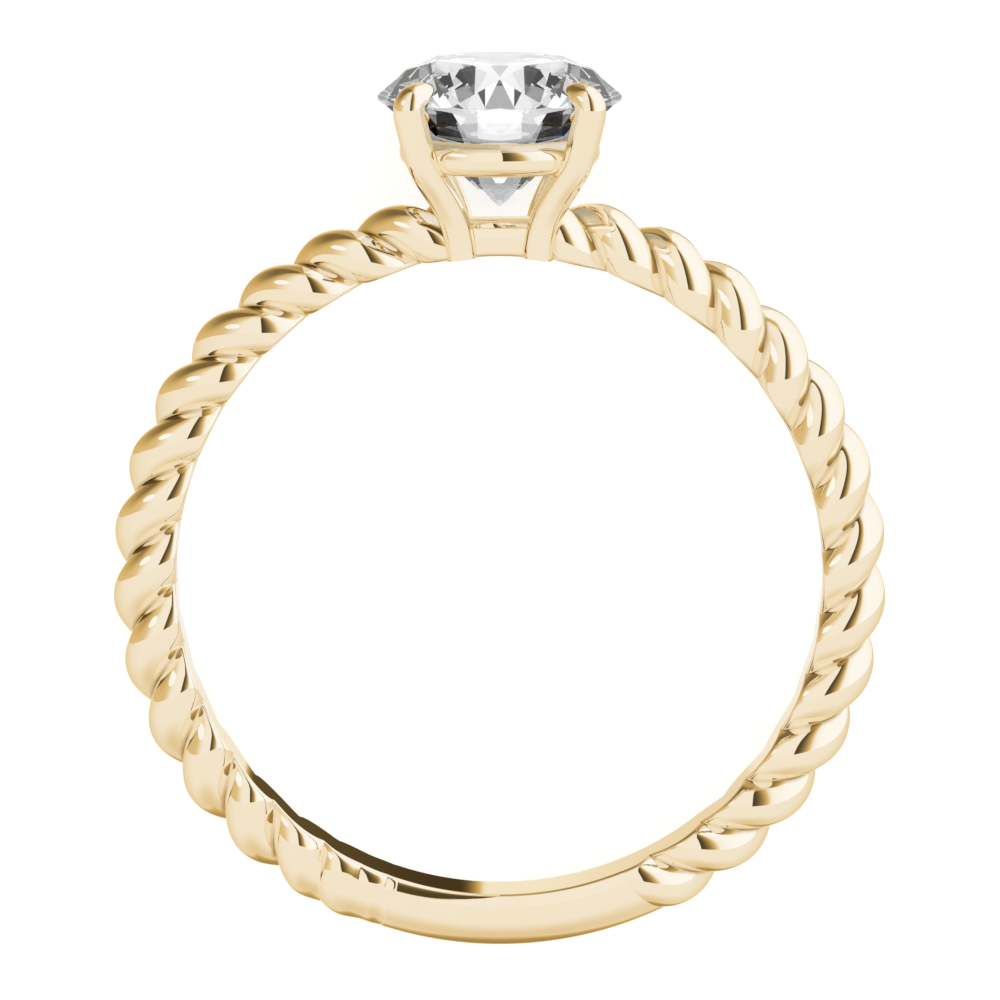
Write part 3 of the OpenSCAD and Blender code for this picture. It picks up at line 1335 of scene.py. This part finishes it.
@dataclass(frozen=True)
class PhotoCamera:
    """The camera, at the photograph's angle to the ring and at its scale.

    Lengths are in millimetres. The aim is a point of the upright ring.
    """

    pose: RestingPose
    elevation: float = 8.75
    distance: float = 250.0
    aim: tuple[float, float, float] = (0.009, 0.0, 1.947)
    pixels_per_mm: float = 37.284
    picture_pixels: float = 1000.0
    sensor: float = 36.0
    nearest: float = 10.0

    def build(self) -> None:
        """Sets up the camera in front of the upright ring and lays it down with it."""
        angle = math.radians(self.elevation)
        back = np.array([0.0, -math.cos(angle), math.sin(angle)])
        turn = self.pose.matrix()
        eye = self.pose.lay(np.array(self.aim) + back * self.distance)
        up = turn @ np.array([0.0, math.sin(angle), math.cos(angle)])
        away = turn @ back
        right = np.cross(up, away)
        data = bpy.data.cameras.new("photo_camera")
        data.sensor_width = self.sensor
        data.lens = self.sensor * self.pixels_per_mm * self.distance / self.picture_pixels
        data.clip_start = self.nearest * MM
        camera = bpy.data.objects.new("photo_camera", data)
        bpy.context.scene.collection.objects.link(camera)
        camera.matrix_world = Matrix.Translation(Vector(eye)) @ Matrix(
            np.stack([right, up, away], 1).tolist()
        ).to_4x4()
        bpy.context.scene.camera = camera


class Axis(Enum):
    """The angles that tell a direction in the studio, in degrees.

    The studio is laid out round the upright ring. The bearing runs from -180 to 180, with 0
    towards the camera and positive to the right, and the height from -90 to 90. The turn is the
    bearing without its sign, so it is the same to the left and the right.
    """

    BEARING = "bearing"
    TURN = "turn"
    HEIGHT = "height"


@dataclass(frozen=True)
class Edge:
    """A soft edge in the studio: nothing at one angle, and everything from the other on."""

    axis: Axis
    none: float
    full: float


@dataclass(frozen=True)
class Fade:
    """A tone that changes along an edge, from before to after it."""

    before: float
    after: float
    edge: Edge


@dataclass(frozen=True)
class Patch:
    """A part of the studio with a tone of its own, from 0 to 1, inside its edges."""

    tone: Union[float, Fade]
    edges: tuple[Edge, ...]


@dataclass(frozen=True)
class Panel:
    """A panel that the stone gets its light from, on both sides of the studio.

    It lies between two turns and two heights, which are the middles of its soft edges. One that
    no direction reaches leaves the panel open on that side.
    """

    near: float
    far: float
    low: float
    high: float
    light: float


@dataclass(frozen=True)
class PalePaper:
    """Matt white paper that glows a little, so the ring's shadow on it stays faint."""

    colour: Colour = (0.55, 0.55, 0.54)
    cloud_colour: Colour = (0.58, 0.58, 0.575)
    cloud_scale: float = 60.0
    glow: float = 0.6
    roughness: float = 0.8

    def material(self) -> bpy.types.Material:
        """Makes the material.

        Returns:
            The material.
        """
        material = bpy.data.materials.new("pale_floor")
        material.use_nodes = True
        shader = material.node_tree.nodes["Principled BSDF"]
        m = NodeMaths(material.node_tree)
        clouds = soft_noise(m, self.cloud_scale, 0.0, 1.0)
        m.put(shader.inputs["Base Color"], m.blend(clouds, self.colour, self.cloud_colour))
        shader.inputs["Emission Color"].default_value = (1.0, 1.0, 1.0, 1.0)
        shader.inputs["Emission Strength"].default_value = self.glow
        shader.inputs["Roughness"].default_value = self.roughness
        shader.inputs["Specular IOR Level"].default_value = 0.0
        return material


# Tone of the studio, and the colour that the gold takes from it.
GOLD_TONES: list[tuple[float, Colour]] = [
    (0.20, (0.033, 0.023, 0.010)),
    (0.353, (0.106, 0.080, 0.041)),
    (0.49, (0.214, 0.155, 0.074)),
    (0.65, (0.392, 0.283, 0.128)),
    (0.824, (0.670, 0.504, 0.226)),
    (0.863, (0.746, 0.585, 0.325)),
    (0.92, (0.866, 0.800, 0.694)),
    (0.96, (0.943, 0.942, 0.990)),
    (1.0, (1.032, 1.118, 1.377)),
]
# Tint of what the gold mirrors by way of gold.
TWICE_MIRRORED: Colour = (1.03, 1.13, 1.42)

# Below the horizon: a floor that darkens to the rear and straight below, with a light strip and
# a dark one low behind the ring.
GROUND_TONE = 0.957
GROUND = (
    Patch(0.925, (Edge(Axis.TURN, 60, 150),)),
    Patch(0.89, (Edge(Axis.HEIGHT, -45, -88),)),
    Patch(0.985, (Edge(Axis.TURN, 150, 172), Edge(Axis.HEIGHT, -40, -25))),
    Patch(
        0.68,
        (Edge(Axis.TURN, 153, 174), Edge(Axis.HEIGHT, -28, -40), Edge(Axis.HEIGHT, -85, -58)),
    ),
)
# Above it: white to the right and darker to the left, a shade high on the left, the far left, a
# dimmer top, the far right, a light strip low behind the ring and the dark backdrop beside it.
SKY_TONE = 0.965
SKY = (
    Patch(1.0, (Edge(Axis.BEARING, 22, 58),)),
    Patch(0.865, (Edge(Axis.BEARING, -32, -72),)),
    Patch(
        0.48,
        (Edge(Axis.BEARING, -72, -112), Edge(Axis.BEARING, -172, -140), Edge(Axis.HEIGHT, 2, 52)),
    ),
    Patch(Fade(0.95, 0.7, Edge(Axis.HEIGHT, 15, 55)), (Edge(Axis.BEARING, -152, -172),)),
    Patch(0.8, (Edge(Axis.HEIGHT, 78, 90),)),
    Patch(0.92, (Edge(Axis.BEARING, 164, 170),)),
    Patch(0.985, (Edge(Axis.TURN, 170, 178), Edge(Axis.HEIGHT, 22, 15))),
    Patch(
        Fade(0.37, 0.27, Edge(Axis.BEARING, 169, 176)),
        (
            Edge(Axis.BEARING, 164, 169),
            Edge(Axis.BEARING, 179.2, 177.4),
            Edge(Axis.HEIGHT, 12.4, 11.4),
        ),
    ),
)
HORIZON = Edge(Axis.HEIGHT, -1.2, -0.2)
# The black flag beside the camera, and its share where the gold mirrors gold.
FLAG = Patch(
    0.3,
    (
        Edge(Axis.BEARING, 3.2, 4.2),
        Edge(Axis.BEARING, 38, 4),
        Edge(Axis.HEIGHT, 0, 2),
        Edge(Axis.HEIGHT, 88, 70),
    ),
)
FLAG_AGAIN = 0.55
# A dark corner on the left that only gold mirrored in gold shows.
DARK_CORNER = Patch(
    0.35,
    (
        Edge(Axis.BEARING, -54, -70),
        Edge(Axis.BEARING, -116, -100),
        Edge(Axis.HEIGHT, -27, -19),
        Edge(Axis.HEIGHT, 52, 40),
    ),
)
# The panels that light the stone, and half the width of their edges.
STONE_EDGE = 2
STONE_PANELS = (
    Panel(136, 161, -32, 9, 0.03),
    Panel(125, 165, 48, 76, 0.42),
    Panel(120, 165, -66, -38, 0.25),
    Panel(51, 66, 28, 46, 0.25),
    Panel(20, 42, 42, 60, 0.2),
    Panel(153, 175, 14, 42, 0.7),
    Panel(-9, 53, -26, -8, 0.16),
    Panel(162, 174, -10, 8, 0.5),
    Panel(100, 130, -40, 8, 0.49),
    Panel(-9, 45, 0, 30, 0.75),
    Panel(90, 189, 76, 99, 0.48),
    Panel(172, 189, -20, 15, 1.32),
    Panel(-9, 20, 30, 70, 0.4),
    Panel(66, 100, -20, 30, 1.2),
)


@dataclass(frozen=True)
class Studio:
    """A pale floor, and a studio whose walls light the ring and show in the gold.

    The softbox is the one round light, on the left: where its middle is, its half width and
    half height, all in degrees, and its edge as shares of those.
    """

    pose: RestingPose
    floor_size: float = 2.0
    floor_light: Colour = (1.05, 1.05, 1.05)
    softbox_at: tuple[float, float] = (-57.0, 31.0)
    softbox_half: tuple[float, float] = (16.5, 9.5)
    softbox_edge: tuple[float, float] = (1.1, 0.9)

    def floor(self) -> None:
        """Lays the pale floor under the ring."""
        half = self.floor_size / 2
        points = [(-half, -half, 0.0), (half, -half, 0.0), (half, half, 0.0), (-half, half, 0.0)]
        mesh = bpy.data.meshes.new("floor")
        mesh.from_pydata(points, [], [(0, 1, 2, 3)])
        floor = bpy.data.objects.new("floor", mesh)
        bpy.context.scene.collection.objects.link(floor)
        floor.visible_glossy = False
        floor.visible_transmission = False
        mesh.materials.append(PalePaper().material())

    def mask(
        self, m: NodeMaths, angles: dict[Axis, Value], edges: tuple[Edge, ...]
    ) -> bpy.types.NodeSocket:
        """Multiplies edges: 1 where all of them are full, and 0 where one of them is nothing."""
        return m.both(*(m.rise(angles[edge.axis], edge.none, edge.full) for edge in edges))

    def patched(
        self, m: NodeMaths, angles: dict[Axis, Value], tone: Value, patches: tuple[Patch, ...]
    ) -> Value:
        """Lays patches over a tone, one after another.

        Args:
            m: Where the nodes go.
            angles: The direction.
            tone: The tone beneath.
            patches: What goes over it, the topmost last.

        Returns:
            The tone with the patches.
        """
        for patch in patches:
            mask = self.mask(m, angles, patch.edges)
            over = patch.tone
            if isinstance(over, Fade):
                over = m.mix(self.mask(m, angles, (over.edge,)), over.before, over.after)
            tone = m.mix(mask, tone, over)
        return tone

    def softbox(self, m: NodeMaths, angles: dict[Axis, Value]) -> bpy.types.NodeSocket:
        """Where the softbox is: sqrt(w^2 + h^2) from its middle, in half sizes, is below 1.

        Args:
            m: Where the nodes go.
            angles: The direction.

        Returns:
            1 inside the softbox and 0 outside.
        """
        wide = m.math("SUBTRACT", angles[Axis.BEARING], self.softbox_at[0])
        wide = m.math("DIVIDE", wide, self.softbox_half[0])
        high = m.math("SUBTRACT", angles[Axis.HEIGHT], self.softbox_at[1])
        high = m.math("DIVIDE", high, self.softbox_half[1])
        off = m.math("SQRT", m.math("ADD", m.both(wide, wide), m.both(high, high)))
        return m.rise(off, *self.softbox_edge)

    def tone(
        self, m: NodeMaths, angles: dict[Axis, Value], again: Value
    ) -> bpy.types.NodeSocket:
        """How light the studio is in each direction, from 0 to 1.

        Args:
            m: Where the nodes go.
            angles: The direction.
            again: 1 where the gold mirrors gold, which shows the studio once more.

        Returns:
            The tone.
        """
        ground = self.patched(m, angles, GROUND_TONE, GROUND)
        sky = self.patched(m, angles, SKY_TONE, SKY)
        sky = m.mix(self.softbox(m, angles), sky, 1.0)
        flag = m.both(self.mask(m, angles, FLAG.edges), m.mix(again, 1.0, FLAG_AGAIN))
        sky = m.mix(flag, sky, FLAG.tone)
        tone = m.mix(self.mask(m, angles, (HORIZON,)), ground, sky)
        corner = m.both(again, self.mask(m, angles, DARK_CORNER.edges))
        return m.mix(corner, tone, DARK_CORNER.tone)

    def stone_light(self, m: NodeMaths, angles: dict[Axis, Value]) -> Value:
        """How much light the stone gets from each direction: white, with its panels.

        Args:
            m: Where the nodes go.
            angles: The direction.

        Returns:
            The light, 1 for plain white.
        """
        patches = []
        for panel in STONE_PANELS:
            edges = (
                Edge(Axis.TURN, panel.near - STONE_EDGE, panel.near + STONE_EDGE),
                Edge(Axis.TURN, panel.far + STONE_EDGE, panel.far - STONE_EDGE),
                Edge(Axis.HEIGHT, panel.low - STONE_EDGE, panel.low + STONE_EDGE),
                Edge(Axis.HEIGHT, panel.high + STONE_EDGE, panel.high - STONE_EDGE),
            )
            patches.append(Patch(panel.light, edges))
        return self.patched(m, angles, 1.0, tuple(patches))

    def world(self) -> None:
        """Sets the light: warm tones where the gold mirrors it, plain greys for the stone.

        The Light Path node tells them apart. A glossy depth of 2 or more is gold mirrored in
        gold, and a ray that went through the stone, or was mirrored by a facet, is the stone's.
        """
        world = bpy.data.worlds.new("studio")
        bpy.context.scene.world = world
        world.use_nodes = True
        tree = world.node_tree
        m = NodeMaths(tree)
        place = tree.nodes.new("ShaderNodeTexCoord")
        upright = tree.nodes.new("ShaderNodeMapping")
        upright.inputs["Rotation"].default_value[0] = math.pi / 2 - self.pose.tilt
        tree.links.new(place.outputs["Generated"], upright.inputs["Vector"])
        parts = tree.nodes.new("ShaderNodeSeparateXYZ")
        tree.links.new(upright.outputs["Vector"], parts.inputs["Vector"])
        x, y, z = parts.outputs
        bearing = m.math("DEGREES", m.math("ARCTAN2", x, m.math("MULTIPLY", y, -1.0)))
        angles = {
            Axis.BEARING: bearing,
            Axis.TURN: m.math("ABSOLUTE", bearing),
            Axis.HEIGHT: m.math("DEGREES", m.math("ARCSINE", z)),
        }
        path = tree.nodes.new("ShaderNodeLightPath")
        again = m.math("GREATER_THAN", path.outputs["Glossy Depth"], 1.5)
        warm = m.tones(self.tone(m, angles, again), GOLD_TONES)
        warm = m.blend(again, warm, TWICE_MIRRORED, Blend.MULTIPLY)
        grey = self.stone_light(m, angles)
        through = m.math("GREATER_THAN", path.outputs["Transmission Depth"], 0.5)
        through = m.math("MAXIMUM", through, path.outputs["Is Singular Ray"])
        shown = m.math("MAXIMUM", path.outputs["Is Camera Ray"], path.outputs["Is Diffuse Ray"])
        for_gold = tree.nodes["Background"]
        for_stone = tree.nodes.new("ShaderNodeBackground")
        for_floor = tree.nodes.new("ShaderNodeBackground")
        m.put(for_gold.inputs["Color"], warm)
        m.put(for_stone.inputs["Color"], grey)
        for_floor.inputs["Color"].default_value = (*self.floor_light, 1.0)
        mirrored, seen = (tree.nodes.new("ShaderNodeMixShader") for _ in range(2))
        for node, mask, off, on in (
            (mirrored, through, for_gold, for_stone),
            (seen, shown, mirrored, for_floor),
        ):
            m.put(node.inputs[0], mask)
            tree.links.new(off.outputs[0], node.inputs[1])
            tree.links.new(on.outputs[0], node.inputs[2])
        tree.links.new(seen.outputs[0], tree.nodes["World Output"].inputs["Surface"])

    def build(self) -> None:
        """Builds the floor and the light."""
        self.floor()
        self.world()
        bpy.context.scene.view_settings.view_transform = "Standard"


def main() -> None:
    """Builds the ring, dresses it and sets the scene around it."""
    logging.basicConfig(level=logging.INFO, format="%(name)s: %(message)s")
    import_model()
    pose = RestingPose()
    gold = PolishedGold().material()
    for obj in RopeShank(pose).build() + BasketHead(pose).build():
        obj.data.materials.append(gold)
    stone = RoundBrilliant(pose).build()
    stone.data.materials.append(ClearDiamond().material())
    Studio(pose).build()
    PhotoCamera(pose).build()
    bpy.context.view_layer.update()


if __name__ == "__main__":
    main()
